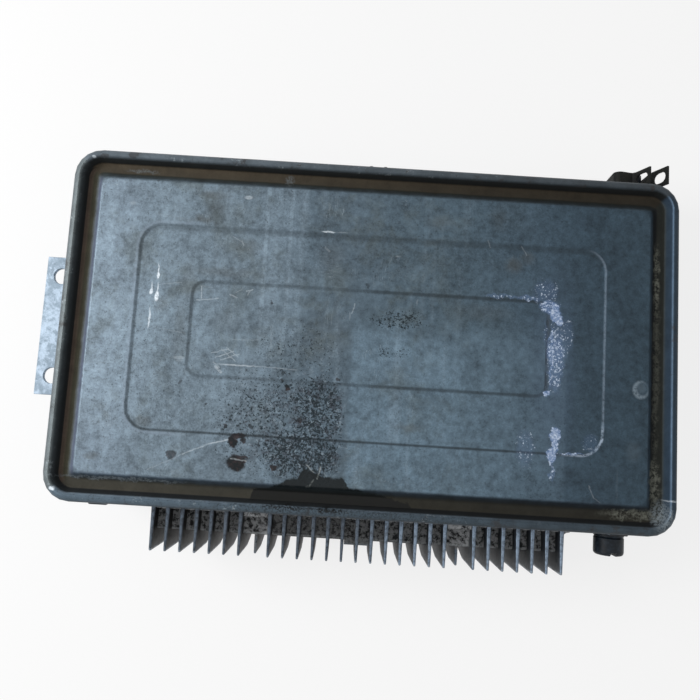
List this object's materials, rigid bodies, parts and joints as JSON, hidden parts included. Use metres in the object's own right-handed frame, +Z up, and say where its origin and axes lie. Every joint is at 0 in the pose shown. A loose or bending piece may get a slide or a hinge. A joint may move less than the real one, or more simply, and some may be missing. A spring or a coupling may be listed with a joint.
{
  "type": "engine control unit",
  "caption": "Engine control unit in a flat pressed metal box, with a finned heat sink on one long side, a mounting bracket on one end and a clamped harness socket.",
  "frame": {"origin": "middle of the base's underside", "axes": "+X along the long side, away from the mounting bracket; +Y from the heat sink to the harness socket; +Z up through the cover"},
  "size_m": [0.2739, 0.1742, 0.0473],
  "materials": {
    "cover_metal": "weathered",
    "tray_metal": "dull",
    "black_casting": "black finish, worn at the edges",
    "galvanised": "galvanised",
    "plated_steel": "plated",
    "strap_steel": "blackened",
    "black_moulding": "matt",
    "gasket_rubber": "matt",
    "board_laminate": "lacquered",
    "chip_moulding": "matt",
    "component_can": "drawn can",
    "capacitor_sleeve": "sleeved",
    "contact_metal": "plated"
  },
  "bodies": {
    "root": {"top_cover": "cover_metal", "cover_gasket": "gasket_rubber", "housing_tray": "tray_metal", "heat_sink": "black_casting", "heat_sink_screw_1": "plated_steel", "heat_sink_screw_2": "plated_steel", "heat_sink_screw_3": "plated_steel", "heat_sink_screw_4": "plated_steel", "mounting_bracket": "galvanised", "bracket_rivet_1": "plated_steel", "bracket_rivet_2": "plated_steel", "trim_cap": "black_moulding", "trim_potentiometer": "black_moulding", "socket_shell": "black_moulding", "contact_insert": "chip_moulding", "socket_screw_1": "plated_steel", "socket_screw_2": "plated_steel", "harness_clamp": "strap_steel", "main_board": "board_laminate", "board_spacer_1": "contact_metal", "board_spacer_2": "contact_metal", "board_spacer_3": "contact_metal", "board_spacer_4": "contact_metal", "board_screw_1": "plated_steel", "board_screw_2": "plated_steel", "board_screw_3": "plated_steel", "board_screw_4": "plated_steel", "base_screw_1": "plated_steel", "base_screw_2": "plated_steel", "base_screw_3": "plated_steel", "base_screw_4": "plated_steel", "microprocessor": "chip_moulding", "program_memory": "chip_moulding", "input_interface": "chip_moulding", "output_driver": "chip_moulding", "supply_capacitor_1": "capacitor_sleeve", "supply_capacitor_2": "capacitor_sleeve", "filter_capacitor": "capacitor_sleeve", "supply_relay": "chip_moulding", "clock_crystal": "component_can", "resistor_pack": "chip_moulding", "suppression_choke": "contact_metal", "insulating_pad": "gasket_rubber", "power_transistor_1": "chip_moulding", "power_transistor_2": "chip_moulding", "power_transistor_3": "chip_moulding", "transistor_clamp": "galvanised", "clamp_screw_1": "plated_steel", "clamp_screw_2": "plated_steel"}
  },
  "joints": []
}
